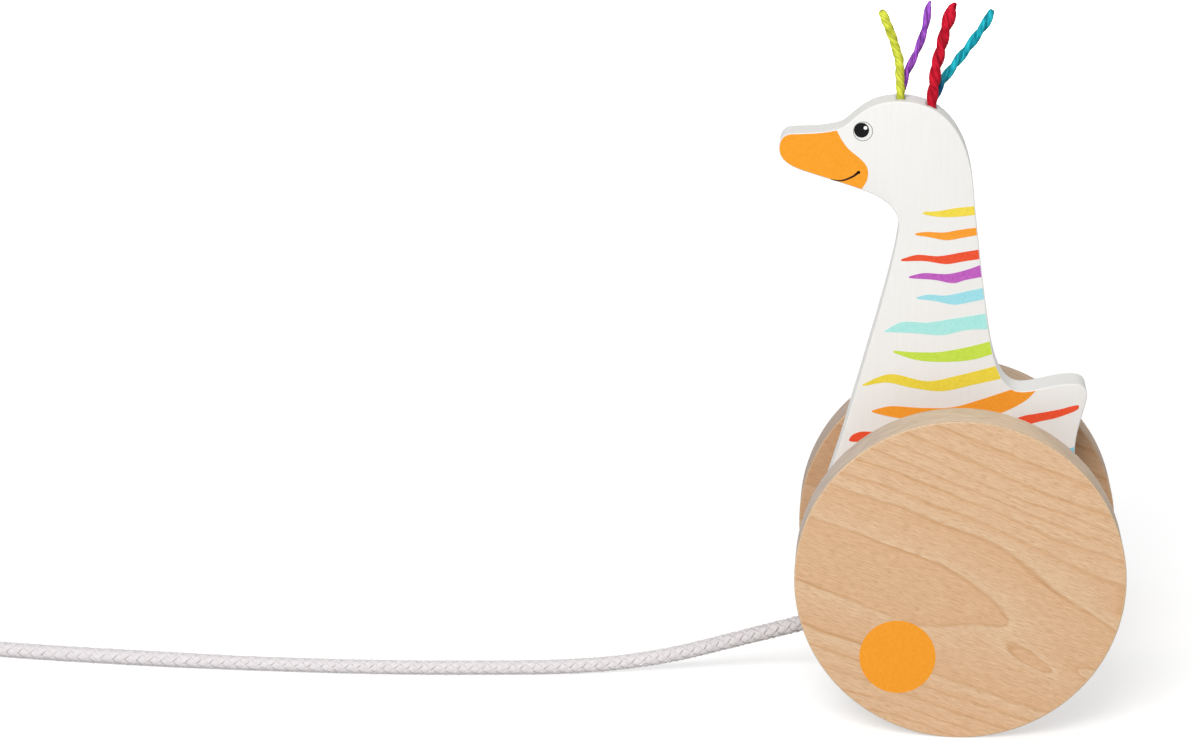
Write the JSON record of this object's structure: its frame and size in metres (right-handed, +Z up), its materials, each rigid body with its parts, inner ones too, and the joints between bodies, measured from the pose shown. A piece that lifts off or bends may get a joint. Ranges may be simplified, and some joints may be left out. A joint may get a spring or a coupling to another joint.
{
  "type": "pull-along goose",
  "caption": "Flat painted wooden goose that rocks on the axle between large plain wooden wheels, with yarn tufts on its head and a braided pull cord looped round a spool on the axle.",
  "frame": {"origin": "on the floor under the middle of the axle, midway between the wheels", "axes": "+Z up, -X the way the goose looks and is pulled, +Y along the axle towards the wheel on the goose's right"},
  "size_m": [0.467, 0.0937, 0.2426],
  "materials": {
    "goose_paint": "satin",
    "wheel_wood": "satin",
    "axle_wood": "matte",
    "spool_wood": "satin",
    "steel": "satin",
    "yarn_yellow": "matte",
    "yarn_purple": "matte",
    "yarn_red": "matte",
    "yarn_blue": "matte",
    "cord": "matte",
    "thread": "matte",
    "tape": "matte"
  },
  "bodies": {
    "tow": {"cord_spool": "spool_wood", "pull_cord_eye": "cord", "pull_cord_whipping": "thread", "pull_cord_run": "cord", "pull_cord_coil": "cord", "coil_tie": "tape", "pull_cord_knot": "cord"},
    "wheelset": {"axle": "axle_wood", "front_wheel": "wheel_wood", "rear_wheel": "wheel_wood", "front_spacer": "spool_wood"},
    "goose": {"goose_body": "goose_paint", "counterweight": "steel", "hair_yellow": "yarn_yellow", "hair_purple": "yarn_purple", "hair_red": "yarn_red", "hair_blue": "yarn_blue"}
  },
  "joints": [
    {"name": "wheel_spin", "type": "hinge", "parent": "tow", "child": "wheelset", "pos_m": [0, 0, 0.055], "axis": [0, 1, 0], "continuous": true},
    {"name": "goose_rock", "type": "hinge", "parent": "tow", "child": "goose", "pos_m": [0, 0, 0.055], "axis": [0, 1, 0], "range_deg": [-14, 16]}
  ]
}
